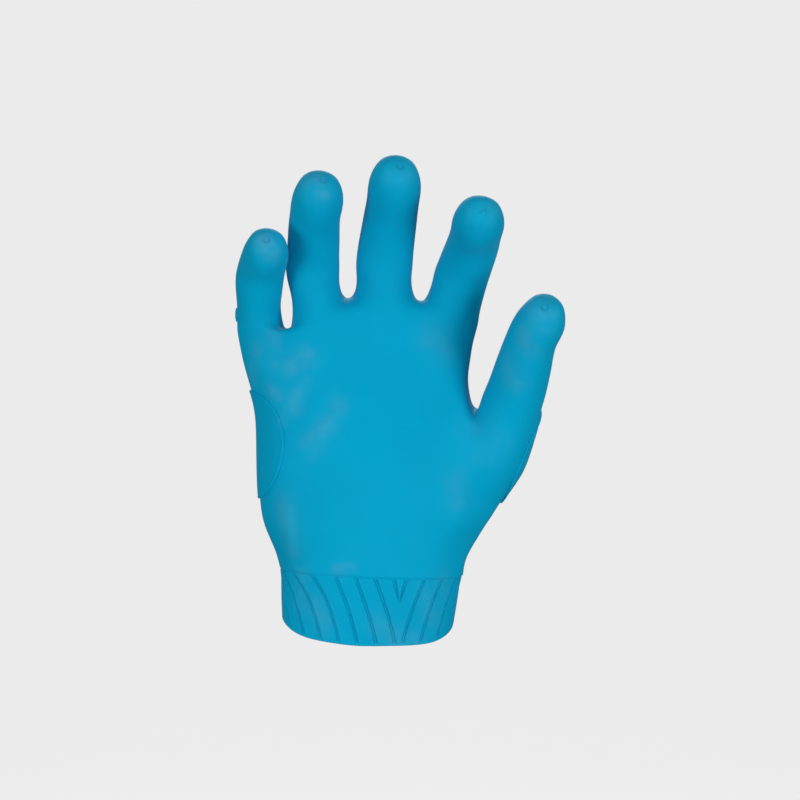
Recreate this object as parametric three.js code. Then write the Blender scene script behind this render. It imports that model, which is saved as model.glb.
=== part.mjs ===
import * as THREE from 'three';

// Right-hand work glove, moulded in one skin and held as if worn, in millimetres.
// +Z runs up the fingers, the palm faces -Y and the thumb is on +X.
// The origin is the middle of the wrist opening, level with the lowest point of the rim.

// Driving dimensions
const skinWall = 1.5;
const bandWall = 2.2;
const bandInset = 0.4; // how far the band's bars lie inside the skin above them
const grooveDepth = 0.7;
const grooveWidth = 2.0;
const grooveFloor = 1.0;
const groovesPerSide = 12;
const padThickness = 0.8;
const nubHeight = 0.7;
const seatGap = 0.3; // between one piece and the next
const padGap = 0.6; // under a pad, where its facets and the skin's differ a little
const bandSquareness = 2.3; // power of the band outline's round: 2 is an ellipse, more is squarer
const fitRounds = 12; // of moving the cage until the smooth skin passes through its points
const castReach = 80; // how far outside its axis a raised piece's outline starts on its way to the skin

const table = (columns, rows) => rows.map(
  (row) => Object.fromEntries(columns.map((name, i) => [name, row[i]])),
);

// Hand below the fingers: left and right are the edges of the section, and reach is how far its round
// goes on to the right, past the thumb's root. palm and back are measured from the middle plane, hollow is
// the dip in the middle of the palm, and valley is how far both sides sink in line with the webs. squareness
// is the power of the section's round: 2 is an ellipse, more is squarer.
const handSections = table(
  ['upLeft', 'upRight', 'arch', 'left', 'right', 'reach', 'palm', 'back', 'hollow', 'valley', 'squareness'],
  [
    [34.4, 30.8, 0.0, -41.8, 45.2, 45.2, 27.5, 27.5, 0.0, 0.0, 2.3],
    [42.9, 39.9, 0.0, -44.2, 47.2, 47.2, 27.8, 27.0, 0.0, 0.0, 2.3],
    [53.4, 50.9, 0.5, -48.6, 53.6, 53.6, 29.0, 26.0, 0.5, 0.0, 2.3],
    [66.4, 63.4, 1.5, -51.2, 61.0, 62.5, 31.0, 24.5, 2.0, 0.0, 2.3],
    [86.4, 85.4, 0.0, -52.0, 50.0, 74.0, 32.0, 22.5, 3.5, 0.0, 2.3],
    [105.4, 110.3, 1.0, -52.4, 50.3, 60.0, 27.5, 21.0, 4.0, 0.0, 2.4],
    [118.9, 121.4, 2.5, -55.1, 47.5, 52.0, 24.0, 19.5, 3.0, 0.3, 2.6],
    [130.9, 132.4, 4.5, -58.6, 48.4, 49.5, 21.0, 17.2, 1.5, 1.0, 2.8],
    [140.9, 141.4, 7.5, -60.7, 49.8, 49.8, 19.0, 15.0, 0.0, 1.6, 2.8],
  ],
);
const thumbRootFirst = 3; // the hand sections that the thumb's root spans
const sideDepth = -2; // of the hand's two edges
const palmValley = 0.5; // share of the valleys that shows on the palm

// Foot of the fingers: the edges, the middle of each finger and the webs between them, left to right.
const webColumns = table(
  ['across', 'palmDepth', 'palmUp', 'backDepth', 'backUp'],
  [
    [-60.3, -8.5, 148.4, 6.8, 147.9],
    [-51.0, -14.5, 148.4, 11.3, 148.4],
    [-37.2, -14.5, 147.9, 10.8, 143.4],
    [-24.5, -17.9, 152.9, 13.5, 153.4],
    [-8.6, -16.0, 161.4, 12.0, 155.9],
    [8.0, -18.3, 158.4, 13.6, 158.4],
    [24.2, -15.6, 160.7, 11.6, 155.4],
    [38.0, -16.4, 152.9, 12.4, 152.9],
    [49.3, -9.3, 149.4, 7.0, 148.4],
  ],
);
const handEdges = table(['across', 'depth', 'up'], [[-61.7, -1, 148.4], [52.0, -1, 149.9]]);
const webRidges = table(
  ['across', 'depth', 'up'],
  [[-37.4, -1.5, 145.4], [-8.6, -1.5, 159.4], [24.2, -1.5, 158.7]],
);

// Sections along each finger. lean turns a section towards the thumb's side and pitch bends it towards
// the palm, in degrees. The last row is the equator of the round tip.
const sectionColumns = ['across', 'depth', 'up', 'width', 'thickness', 'lean', 'pitch'];
const littleFinger = table(sectionColumns, [
  [-51.1, -3.5, 155.0, 21.2, 23.6, 0, 14],
  [-51.2, -7.2, 162.4, 21.2, 22.0, 0, 24],
  [-50.6, -12.8, 170.9, 22.6, 21.5, 2, 38],
  [-48.8, -20.2, 178.2, 22.4, 21.0, 6, 48],
  [-46.6, -31.5, 185.1, 20.0, 20.0, 6, 58],
]);
const ringFinger = table(sectionColumns, [
  [-23.8, -4.0, 162.0, 24.4, 28.4, -14, 10],
  [-25.7, -6.8, 173.7, 25.2, 25.0, -3, 16],
  [-25.6, -11.0, 184.0, 24.6, 24.5, 0, 30],
  [-24.9, -19.0, 194.4, 24.0, 24.0, 2, 41],
  [-24.0, -27.2, 201.9, 23.6, 23.6, 5, 50],
  [-22.3, -38.0, 209.9, 22.8, 23.0, 6, 55],
]);
const middleFinger = table(sectionColumns, [
  [7.6, -4.0, 167.4, 27.6, 29.0, 0, 10],
  [7.8, -6.8, 177.4, 26.8, 26.0, 1, 16],
  [8.9, -10.8, 188.4, 26.0, 25.0, 5, 30],
  [10.7, -18.4, 199.4, 25.0, 24.5, 7, 42],
  [12.0, -27.7, 208.2, 24.2, 24.0, 7, 52],
  [13.0, -39.0, 216.7, 23.2, 23.2, 6, 57],
]);
const indexFinger = table(sectionColumns, [
  [40.6, -3.6, 161.0, 26.6, 27.6, 18, 14],
  [43.5, -7.5, 170.9, 25.8, 25.0, 16, 24],
  [46.6, -14.5, 180.0, 25.0, 24.5, 17, 42],
  [49.0, -24.0, 187.4, 24.2, 24.0, 15, 54],
  [50.4, -34.5, 193.6, 23.6, 23.4, 12, 63],
  [51.3, -46.0, 198.7, 22.8, 22.8, 8, 68],
]);
const thumb = table(sectionColumns, [
  [61.7, -11.0, 96.1, 38.4, 35.0, 58, 14],
  [66.6, -16.0, 109.4, 30.4, 30.0, 38, 22],
  [70.6, -22.5, 122.9, 27.2, 27.0, 22, 28],
  [73.6, -29.5, 135.0, 25.2, 25.5, 19, 32],
  [76.4, -36.0, 145.0, 23.4, 24.0, 19, 34],
  [80.3, -42.0, 153.4, 22.2, 22.2, 20, 34],
]);
const digits = { littleFinger, ringFinger, middleFinger, indexFinger, thumb };
const fingerTurns = [135, 90, 45, 0, -45, -90, -135, 180]; // of a section's points, from the thumb's side
const tipShoulder = 48; // degrees up the round tip where it has one more section
const tipLength = 1.04; // tip height over its radius

// Wrist band
const seamUp = { left: 34.4, right: 30.8 };
const bandTop = { left: -41.8, right: 44.8, palm: 27.5, back: 27.5 };
const bandRim = { left: -41.4, right: 40.8, palm: 26.8, back: 26.8 };
// How far the rim rises above its lowest point, in front
const rimRise = { back: 4.5, leftSlope: 4.2, left: 6.2, right: 6.2, sideSharpness: 12 };
const bandLevels = [0, 0.3, 0.65, 1]; // shares of the band's height, outside
const liningLevels = [1, 0.5, 0]; // and inside
const plainShares = [1 / 3, 2 / 3]; // where the plain stretches beside the V's axis have a point
const chevronAcross = 15.2; // where the bars meet in a V, on the palm side
const chevronHalfTop = 11.9; // from the V's axis to the first groove, at the seam
const chevronHalfRim = 1.8; // and at the rim
const chevronCurve = 1.25; // above 1 the grooves lean more near the seam

// Raised pieces on the skin, each round an axis inside the hand. turn is the middle of the piece, from the
// axis's outward side towards the back of the hand, and spread is half its angle, in degrees.
const littleFingerPad = {
  foot: new THREE.Vector3(-30, -4.5, 68.2),
  head: new THREE.Vector3(-32, -1, 119.9),
  outward: new THREE.Vector3(-1, 0, 0),
  turn: 0,
  spread: 64,
  sides: 30,
};
const thumbPad = {
  foot: new THREE.Vector3(47.8, -3.2, 70.2),
  head: new THREE.Vector3(67, -14.8, 116.5),
  outward: new THREE.Vector3(0.92, 0, -0.38),
  turn: 18,
  spread: 54,
  sides: 30,
};
const nubPatch = {
  foot: new THREE.Vector3(-52, -3.5, 150.9),
  head: new THREE.Vector3(-52, -5.5, 157.9),
  outward: new THREE.Vector3(-1, 0, 0),
  turn: 0,
  spread: 12,
  sides: 14,
};

// Rings from a raised piece's middle to its edge: how far out, and the share of its height there
const padRings = table(['share', 'rise'], [[0.2, 1], [0.4, 1], [0.6, 1], [0.8, 1], [0.96, 1], [1, 0.5]]);
const nubRings = table(['share', 'rise'], [[0.5, 0.88], [0.85, 0.59], [1, 0.31]]);

const gloveMaterial = (name, colour, roughness) => {
  const material = new THREE.MeshStandardMaterial({ color: colour, roughness, metalness: 0 });
  material.name = name;
  return material;
};

// A cage of four-sided faces, smoothed by Catmull and Clark's rule. Its open edge stays a smooth curve.
// Each face belongs to one stretch of the skin, such as the hand or a finger.
class Cage {
  constructor() {
    this.points = [];
    this.faces = [];
    this.stretches = [];
    this.stretch = 'hand';
  }

  addPoint(x, y, z) {
    return this.points.push(new THREE.Vector3(x, y, z)) - 1;
  }

  addFace(corners) {
    this.faces.push(corners);
    this.stretches.push(this.stretch);
  }

  joinRings(lower, upper, skip = () => false) {
    lower.forEach((corner, k) => {
      const next = (k + 1) % lower.length;
      if (!skip(k)) this.addFace([corner, lower[next], upper[next], upper[k]]);
    });
  }

  edges() {
    const found = new Map();
    this.faces.forEach((face, f) => face.forEach((a, k) => {
      const b = face[(k + 1) % 4];
      const key = a < b ? `${a}_${b}` : `${b}_${a}`;
      if (!found.has(key)) found.set(key, { ends: [a, b], faces: [] });
      found.get(key).faces.push(f);
    }));
    return found;
  }

  // For each point, its neighbours along edges and across faces, or along the open edge alone.
  neighbours() {
    const near = this.points.map(() => ({ along: [], across: [], rim: [] }));
    for (const { ends: [a, b], faces } of this.edges().values()) {
      near[a].along.push(b);
      near[b].along.push(a);
      if (faces.length === 1) {
        near[a].rim.push(b);
        near[b].rim.push(a);
      }
    }
    this.faces.forEach((face) => face.forEach((a, k) => near[a].across.push(face[(k + 2) % 4])));
    return near;
  }

  weightedSum(terms) {
    const sum = new THREE.Vector3();
    terms.forEach(([index, weight]) => sum.addScaledVector(this.points[index], weight));
    return sum;
  }

  // Where the smooth surface passes for each point of the cage
  limitPoints(near = this.neighbours()) {
    return near.map(({ along, across, rim }, index) => {
      if (rim.length) return this.weightedSum([[index, 4 / 6], [rim[0], 1 / 6], [rim[1], 1 / 6]]);
      const n = along.length;
      const total = n * n + 5 * n;
      return this.weightedSum([
        [index, (n * n) / total],
        ...along.map((other) => [other, 4 / total]),
        ...across.map((other) => [other, 1 / total]),
      ]);
    });
  }

  // Moves the cage until the smooth surface passes through the points it was given.
  fitToPoints(rounds) {
    const targets = this.points.map((point) => point.clone());
    const near = this.neighbours();
    for (let round = 0; round < rounds; round += 1) {
      this.limitPoints(near).forEach((limit, i) => this.points[i].add(targets[i]).sub(limit));
    }
  }

  subdivided() {
    const fine = new Cage();
    const near = this.neighbours();
    near.forEach(({ along, across, rim }, index) => {
      if (rim.length) {
        fine.points.push(this.weightedSum([[index, 6 / 8], [rim[0], 1 / 8], [rim[1], 1 / 8]]));
        return;
      }
      const n = along.length;
      fine.points.push(this.weightedSum([
        [index, 1 - 7 / (4 * n)],
        ...along.map((other) => [other, 3 / (2 * n * n)]),
        ...across.map((other) => [other, 1 / (4 * n * n)]),
      ]));
    });
    const middles = this.faces.map(
      (face) => fine.points.push(this.weightedSum(face.map((corner) => [corner, 1 / 4]))) - 1,
    );
    const halves = new Map();
    for (const [key, { ends, faces }] of this.edges()) {
      const half = this.weightedSum(ends.map((end) => [end, 1 / 2]));
      if (faces.length === 2) {
        const faceMiddle = fine.points[middles[faces[0]]].clone().lerp(fine.points[middles[faces[1]]], 0.5);
        half.lerp(faceMiddle, 0.5);
      }
      halves.set(key, fine.points.push(half) - 1);
    }
    const halfOf = (a, b) => halves.get(a < b ? `${a}_${b}` : `${b}_${a}`);
    this.faces.forEach((face, f) => {
      fine.stretch = this.stretches[f];
      face.forEach((a, k) => {
        const after = halfOf(a, face[(k + 1) % 4]);
        const before = halfOf(a, face[(k + 3) % 4]);
        fine.addFace([a, after, middles[f], before]);
      });
    });
    return fine;
  }
}

const flattened = (x, left, right, power) => {
  const share = Math.min(1, Math.abs((2 * (x - left)) / (right - left) - 1));
  return (1 - share ** power) ** (1 / power);
};

// One ring of the hand: left edge, palm side, right edge, back. The right edge is left out in the middle of
// the thumb's root.
function handRing(cage, section, hasRightEdge) {
  const [leftEdge, rightEdge] = handEdges;
  const shares = webColumns.map(
    ({ across }) => (across - leftEdge.across) / (rightEdge.across - leftEdge.across),
  );
  const place = (share, side, column) => {
    const x = THREE.MathUtils.lerp(section.left, section.right, share);
    const round = flattened(x, section.left, section.reach, section.squareness);
    const turn = (Math.PI * (x - section.left)) / (section.reach - section.left);
    const dip = section.hollow * Math.sin(turn) ** 2;
    const isWeb = column % 2 === 0 && column > 0 && column < shares.length - 1;
    const valley = isWeb ? section.valley : 0;
    const palmDepth = dip + valley * palmValley - section.palm * round;
    const y = side === 'palm' ? palmDepth : section.back * round - valley;
    const arch = 4 * section.arch * share * (1 - share);
    return cage.addPoint(x, y, THREE.MathUtils.lerp(section.upLeft, section.upRight, share) + arch);
  };
  const left = cage.addPoint(section.left, sideDepth, section.upLeft);
  const palm = shares.map((share, column) => place(share, 'palm', column));
  const right = hasRightEdge ? cage.addPoint(section.right, sideDepth, section.upRight) : null;
  const back = shares.map((share, column) => place(share, 'back', column));
  return [left, ...palm, right, ...back.reverse()];
}

// Directions across and along a section that leans and bends
function sectionAxes(section) {
  const lean = THREE.MathUtils.degToRad(section.lean);
  const pitch = THREE.MathUtils.degToRad(section.pitch);
  const sideways = new THREE.Vector3(Math.cos(lean), 0, -Math.sin(lean));
  const along = new THREE.Vector3(
    Math.sin(lean) * Math.cos(pitch),
    -Math.sin(pitch),
    Math.cos(lean) * Math.cos(pitch),
  );
  return { sideways, along };
}

// Eight points round a finger: palm side from left to right, right side, back, left side
function fingerRing(cage, section) {
  const { across, depth, up, width, thickness } = section;
  const { sideways, along } = sectionAxes(section);
  const palmward = sideways.clone().cross(along);
  return fingerTurns.map((degrees) => {
    const angle = THREE.MathUtils.degToRad(degrees);
    const point = new THREE.Vector3(across, depth, up)
      .addScaledVector(sideways, (width / 2) * Math.cos(angle))
      .addScaledVector(palmward, (thickness / 2) * Math.sin(angle));
    return cage.addPoint(point.x, point.y, point.z);
  });
}

// The round tip's last section and its pole, from the section at its equator
function tipSections(equator) {
  const { along } = sectionAxes(equator);
  const shoulder = THREE.MathUtils.degToRad(tipShoulder);
  const height = (tipLength * equator.width) / 2;
  const at = (share) => ({
    across: equator.across + height * share * along.x,
    depth: equator.depth + height * share * along.y,
    up: equator.up + height * share * along.z,
  });
  const shoulderSection = {
    ...equator,
    ...at(Math.sin(shoulder)),
    width: equator.width * Math.cos(shoulder),
    thickness: equator.thickness * Math.cos(shoulder),
  };
  return [shoulderSection, at(1)];
}

// The finger's own stretch of skin starts at its first section. What lies below that is the hand's.
function addFinger(cage, root, stretch, sections) {
  const [shoulder, pole] = tipSections(sections[sections.length - 1]);
  cage.stretch = 'hand';
  let ring = root;
  for (const section of [...sections, shoulder]) {
    const next = fingerRing(cage, section);
    cage.joinRings(ring, next);
    cage.stretch = stretch;
    ring = next;
  }
  const top = cage.addPoint(pole.across, pole.depth, pole.up);
  for (let k = 0; k < 8; k += 2) cage.addFace([ring[k], ring[k + 1], ring[(k + 2) % 8], top]);
}

function handCage() {
  const cage = new Cage();
  const thumbRows = [thumbRootFirst, thumbRootFirst + 1];
  const rings = handSections.map((section, row) => handRing(cage, section, row !== thumbRows[1]));
  const [leftEdge, rightEdge] = handEdges.map(({ across, depth, up }) => cage.addPoint(across, depth, up));
  const palm = webColumns.map(({ across, palmDepth, palmUp }) => cage.addPoint(across, palmDepth, palmUp));
  const back = webColumns.map(({ across, backDepth, backUp }) => cage.addPoint(across, backDepth, backUp));
  const ridges = webRidges.map(({ across, depth, up }) => cage.addPoint(across, depth, up));
  rings.push([leftEdge, ...palm, rightEdge, ...back.slice().reverse()]);

  // The thumb leaves through two rows of faces on each side of the right edge.
  const edgeColumn = webColumns.length + 1;
  for (let row = 0; row + 1 < rings.length; row += 1) {
    const atThumb = thumbRows.includes(row);
    cage.joinRings(rings[row], rings[row + 1], (k) => atThumb && (k === edgeColumn - 1 || k === edgeColumn));
  }

  const sides = [leftEdge, ...ridges, rightEdge];
  ['littleFinger', 'ringFinger', 'middleFinger', 'indexFinger'].forEach((finger, i) => {
    const [first, middle, last] = [2 * i, 2 * i + 1, 2 * i + 2];
    const root = [
      palm[first], palm[middle], palm[last], sides[i + 1],
      back[last], back[middle], back[first], sides[i],
    ];
    addFinger(cage, root, finger, digits[finger]);
  });

  const [low, mid, high] = [0, 1, 2].map((step) => rings[thumbRootFirst + step]);
  const thumbRoot = [
    high[edgeColumn - 1], mid[edgeColumn - 1], low[edgeColumn - 1], low[edgeColumn],
    low[edgeColumn + 1], mid[edgeColumn + 1], high[edgeColumn + 1], high[edgeColumn],
  ];
  addFinger(cage, thumbRoot, 'thumb', digits.thumb);
  return cage;
}

function solidGeometry(points, triangles) {
  const geometry = new THREE.BufferGeometry();
  const places = points.flatMap((p) => [p.x, p.y, p.z]);
  geometry.setAttribute('position', new THREE.Float32BufferAttribute(places, 3));
  geometry.setIndex(triangles.flat());
  geometry.computeVertexNormals();
  return geometry;
}

// Each four-sided face is split along its shorter diagonal.
function trianglesOf(faces, points) {
  return faces.flatMap(([a, b, c, d]) => (
    points[a].distanceToSquared(points[c]) <= points[b].distanceToSquared(points[d])
      ? [[a, b, c], [a, c, d]]
      : [[a, b, d], [b, c, d]]
  ));
}

// Outer surface of the hand, its facets and the direction out of it at each point
function handSkin() {
  const cage = handCage();
  cage.fitToPoints(fitRounds);
  const fine = cage.subdivided();
  const near = fine.neighbours();
  const points = fine.limitPoints(near);
  const triangles = trianglesOf(fine.faces, points);
  const stretches = fine.stretches.flatMap((stretch) => [stretch, stretch]);
  const geometry = solidGeometry(points, triangles);
  const normal = geometry.getAttribute('normal');
  const outward = points.map((_, i) => new THREE.Vector3().fromBufferAttribute(normal, i));
  near.forEach(({ rim }, i) => {
    if (rim.length) outward[i].setZ(0).normalize();
  });
  return { points, triangles, stretches, outward, geometry };
}

// One stretch of the skin with its wall, whose inner surface lies one wall inside. The open end of a finger
// is drawn back one gap from the hand.
function skinShell({ points, triangles, stretches, outward }, stretch) {
  const own = triangles.filter((_, t) => stretches[t] === stretch);
  const sides = own.flatMap(([a, b, c]) => [[a, b, c], [b, c, a], [c, a, b]]);
  const known = new Set(sides.map(([a, b]) => `${a}_${b}`));
  const openSides = sides.filter(([a, b]) => !known.has(`${b}_${a}`));
  const used = [...new Set(own.flat())];
  const place = new Map(used.map((index, i) => [index, i]));
  const outer = used.map((index) => points[index].clone());
  if (stretch in digits) {
    for (const [a, b, c] of openSides) {
      const side = points[b].clone().sub(points[a]).normalize();
      const inside = points[c].clone().sub(points[a]);
      inside.addScaledVector(side, -inside.dot(side)).setLength(seatGap / 2);
      [a, b].forEach((index) => outer[place.get(index)].add(inside));
    }
  }
  const inner = outer.map((point, i) => point.clone().addScaledVector(outward[used[i]], -skinWall));
  const count = outer.length;
  const outside = own.map((corners) => corners.map((index) => place.get(index)));
  const lining = outside.map(([a, b, c]) => [a + count, c + count, b + count]);
  // The walls on the two sides of a cut are split along the same diagonals.
  const walls = openSides.flatMap(([a, b]) => {
    const [start, end] = [place.get(a), place.get(b)];
    return a < b
      ? [[end, start, start + count], [end, start + count, end + count]]
      : [[end, start, end + count], [start, start + count, end + count]];
  });
  return solidGeometry([...outer, ...inner], [...outside, ...lining, ...walls]);
}

// A level outline of the band, run by its length
class BandOutline extends THREE.Curve {
  constructor({ left, right, palm, back }, inset) {
    super();
    this.middle = (left + right) / 2;
    this.halfWidth = (right - left) / 2 - inset;
    this.palm = palm - inset;
    this.back = back - inset;
    this.arcLengthDivisions = 720;
  }

  getPoint(t, target = new THREE.Vector3()) {
    const angle = 2 * Math.PI * t;
    const squared = (value) => Math.sign(value) * Math.abs(value) ** (2 / bandSquareness);
    const depth = Math.sin(angle) < 0 ? this.palm : this.back;
    return target.set(
      this.middle + this.halfWidth * squared(Math.cos(angle)),
      depth * squared(Math.sin(angle)),
      0,
    );
  }
}

// Stations round the band: how far from the V's axis each is at the rim and at the seam, as shares of the
// way round, and whether it is on a groove's floor.
function bandStations(length) {
  const pitch = (length / 2 - chevronHalfTop - chevronHalfRim) / (groovesPerSide - 1);
  const half = [];
  const addStation = (rim, top, floor) => half.push({ rim, top, floor });
  const addStretch = (from, to) => plainShares.forEach((share) => addStation(
    THREE.MathUtils.lerp(from.rim, to.rim, share),
    THREE.MathUtils.lerp(from.top, to.top, share),
    false,
  ));
  const edge = grooveWidth / 2;
  addStretch({ rim: 0, top: 0 }, { rim: chevronHalfRim - edge, top: chevronHalfTop - edge });
  for (let k = 0; k < groovesPerSide; k += 1) {
    const rim = chevronHalfRim + k * pitch;
    const top = chevronHalfTop + k * pitch;
    addStation(rim - edge, top - edge, false);
    addStation(rim - grooveFloor / 2, top - grooveFloor / 2, true);
    addStation(rim + grooveFloor / 2, top + grooveFloor / 2, true);
    addStation(rim + edge, top + edge, false);
    if (k + 1 < groovesPerSide) addStation(rim + pitch / 2, top + pitch / 2, false);
  }
  addStretch(half[half.length - 1], { rim: length / 2, top: length / 2 });
  const mirrored = half.map(({ rim, top, floor }) => ({ rim: -rim, top: -top, floor })).reverse();
  const axis = { rim: 0, top: 0, floor: false };
  const farAxis = { rim: length / 2, top: length / 2, floor: false };
  return [...mirrored, axis, ...half, farAxis];
}

function rimHeight(angle) {
  const toBack = Math.max(0, Math.sin(angle)) ** 2;
  const toLeft = Math.max(0, -Math.cos(angle));
  const toRight = Math.max(0, Math.cos(angle));
  const atLeft = rimRise.left * toLeft ** rimRise.sideSharpness;
  const atRight = rimRise.right * toRight ** rimRise.sideSharpness;
  return rimRise.back * toBack + rimRise.leftSlope * toLeft ** 2 + atLeft + atRight;
}

function cuffBand() {
  const topLength = new BandOutline(bandTop, bandInset).getLength();
  const stations = bandStations(topLength);
  const points = [];
  const rows = [];
  const addLevel = (share, inset, grooved) => {
    const size = Object.fromEntries(
      Object.keys(bandTop).map((key) => [key, THREE.MathUtils.lerp(bandRim[key], bandTop[key], share)]),
    );
    const outline = new BandOutline(size, inset);
    const frontShare = 0.75 + (chevronAcross - outline.middle) / topLength;
    rows.push(stations.map(({ rim, top, floor }) => {
      const distance = THREE.MathUtils.lerp(rim, top, share ** chevronCurve);
      const around = (frontShare + distance / topLength + 1) % 1;
      const point = outline.getPointAt(around);
      const angle = Math.atan2(point.y, point.x - outline.middle);
      if (grooved && floor) {
        const tangent = outline.getTangentAt(around);
        point.addScaledVector(new THREE.Vector3(tangent.y, -tangent.x, 0), -grooveDepth);
      }
      const toSeam = THREE.MathUtils.inverseLerp(bandTop.left, bandTop.right, point.x);
      const seam = THREE.MathUtils.lerp(seamUp.left, seamUp.right, toSeam);
      point.z = THREE.MathUtils.lerp(rimHeight(angle), seam - seatGap, share);
      return points.push(point) - 1;
    }));
  };
  bandLevels.forEach((share) => addLevel(share, bandInset, true));
  liningLevels.forEach((share) => addLevel(share, bandInset + bandWall, false));
  const faces = rows.flatMap((row, r) => {
    const next = rows[(r + 1) % rows.length];
    return row.map((corner, k) => {
      const beside = (k + 1) % row.length;
      return [corner, row[beside], next[beside], next[k]];
    });
  });
  return solidGeometry(points, trianglesOf(faces, points));
}

// A thin piece that lies on the skin, built of rings from its middle to its edge
function patchOnSkin(skin, patch, rings, height) {
  const facets = new THREE.Mesh(skin.geometry);
  const ray = new THREE.Raycaster();
  const axis = patch.head.clone().sub(patch.foot).normalize();
  const outward = patch.outward.clone().addScaledVector(axis, -patch.outward.dot(axis)).normalize();
  const backward = axis.clone().cross(outward);
  const isMirrored = backward.y < 0;
  if (isMirrored) backward.negate();
  const { sides } = patch;
  const top = [];
  const under = [];
  const addPair = (share, angle, rise) => {
    const along = (1 - share * Math.cos(angle)) / 2;
    const turn = THREE.MathUtils.degToRad(patch.turn + patch.spread * share * Math.sin(angle));
    const away = outward.clone().multiplyScalar(Math.cos(turn)).addScaledVector(backward, Math.sin(turn));
    const start = patch.foot.clone().lerp(patch.head, along).addScaledVector(away, castReach);
    ray.set(start, away.negate());
    const [{ point, normal }] = ray.intersectObject(facets);
    under.push(point.clone().addScaledVector(normal, padGap));
    top.push(point.clone().addScaledVector(normal, padGap + height * rise));
    return top.length - 1;
  };
  const centre = addPair(0, 0, 1);
  const loops = rings.map(({ share, rise }) => Array.from({ length: sides }, (_, k) => (
    addPair(share, (2 * Math.PI * k) / sides, rise)
  )));
  const triangles = loops[0].map((a, k) => [centre, a, loops[0][(k + 1) % sides]]);
  for (let r = 0; r + 1 < loops.length; r += 1) {
    loops[r].forEach((a, k) => {
      const next = (k + 1) % sides;
      triangles.push([a, loops[r + 1][k], loops[r + 1][next]]);
      triangles.push([a, loops[r + 1][next], loops[r][next]]);
    });
  }
  const count = top.length;
  const edge = loops[loops.length - 1];
  const rim = edge.flatMap((a, k) => {
    const b = edge[(k + 1) % sides];
    return [[b, a, a + count], [b, a + count, b + count]];
  });
  const base = triangles.map(([a, b, c]) => [a + count, c + count, b + count]);
  const all = [...triangles, ...base, ...rim];
  const facingOut = isMirrored ? all.map(([a, b, c]) => [a, c, b]) : all;
  return solidGeometry([...top, ...under], facingOut);
}

const skin = handSkin();
const skinMaterial = gloveMaterial('skin', 0x0e8fb6, 0.62);
const padMaterial = gloveMaterial('pad', 0x0c84a8, 0.6);
const pieces = [
  ['hand_shell', skinShell(skin, 'hand'), skinMaterial],
  ['little_finger_shell', skinShell(skin, 'littleFinger'), skinMaterial],
  ['ring_finger_shell', skinShell(skin, 'ringFinger'), skinMaterial],
  ['middle_finger_shell', skinShell(skin, 'middleFinger'), skinMaterial],
  ['index_finger_shell', skinShell(skin, 'indexFinger'), skinMaterial],
  ['thumb_shell', skinShell(skin, 'thumb'), skinMaterial],
  ['cuff_band', cuffBand(), gloveMaterial('band', 0x0e88ae, 0.6)],
  ['little_finger_side_pad', patchOnSkin(skin, littleFingerPad, padRings, padThickness), padMaterial],
  ['thumb_side_pad', patchOnSkin(skin, thumbPad, padRings, padThickness), padMaterial],
  ['little_finger_nub', patchOnSkin(skin, nubPatch, nubRings, nubHeight), padMaterial],
];

const group = new THREE.Group();
for (const [name, geometry, material] of pieces) {
  const mesh = new THREE.Mesh(geometry, material.clone());
  mesh.name = name;
  group.add(mesh);
}

export default group;
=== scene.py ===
import math

import bpy
import numpy as np
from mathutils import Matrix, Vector, noise
from mathutils.bvhtree import BVHTree


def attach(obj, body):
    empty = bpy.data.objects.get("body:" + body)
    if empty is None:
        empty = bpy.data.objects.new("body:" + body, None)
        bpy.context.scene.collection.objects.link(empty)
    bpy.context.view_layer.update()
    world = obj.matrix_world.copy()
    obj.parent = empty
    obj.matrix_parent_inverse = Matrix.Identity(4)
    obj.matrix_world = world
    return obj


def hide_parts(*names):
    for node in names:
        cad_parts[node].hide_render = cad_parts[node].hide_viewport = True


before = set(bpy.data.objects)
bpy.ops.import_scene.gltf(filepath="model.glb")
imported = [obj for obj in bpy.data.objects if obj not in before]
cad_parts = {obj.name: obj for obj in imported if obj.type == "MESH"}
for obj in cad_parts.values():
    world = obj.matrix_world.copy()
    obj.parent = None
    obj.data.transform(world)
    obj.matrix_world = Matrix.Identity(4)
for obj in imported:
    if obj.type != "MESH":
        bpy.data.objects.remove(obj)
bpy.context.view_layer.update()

mm = 0.001


def table(columns, rows):
    return [dict(zip(columns, row)) for row in rows]


def lerp(first, last, share):
    return first + (last - first) * share


def smoothStep(low, high, value):
    share = np.clip((value - low) / (high - low), 0, 1)
    return share * share * (3 - 2 * share)


# nodes, for materials and for geometry

class Wire:
    # an output of a node: sums written on it add Math nodes
    def __init__(self, maker, socket):
        self.maker = maker
        self.socket = socket

    def __add__(self, other):
        return self.maker.math("ADD", self, other)

    def __radd__(self, other):
        return self.maker.math("ADD", other, self)

    def __sub__(self, other):
        return self.maker.math("SUBTRACT", self, other)

    def __rsub__(self, other):
        return self.maker.math("SUBTRACT", other, self)

    def __mul__(self, other):
        return self.maker.math("MULTIPLY", self, other)

    def __rmul__(self, other):
        return self.maker.math("MULTIPLY", other, self)

    def between(self, low, high):
        # 0 below low, 1 above high, soft in between
        sockets = {"Value": self, "From Min": low, "From Max": high}
        return self.maker.add("ShaderNodeMapRange", {"interpolation_type": "SMOOTHSTEP"}, sockets)


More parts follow.
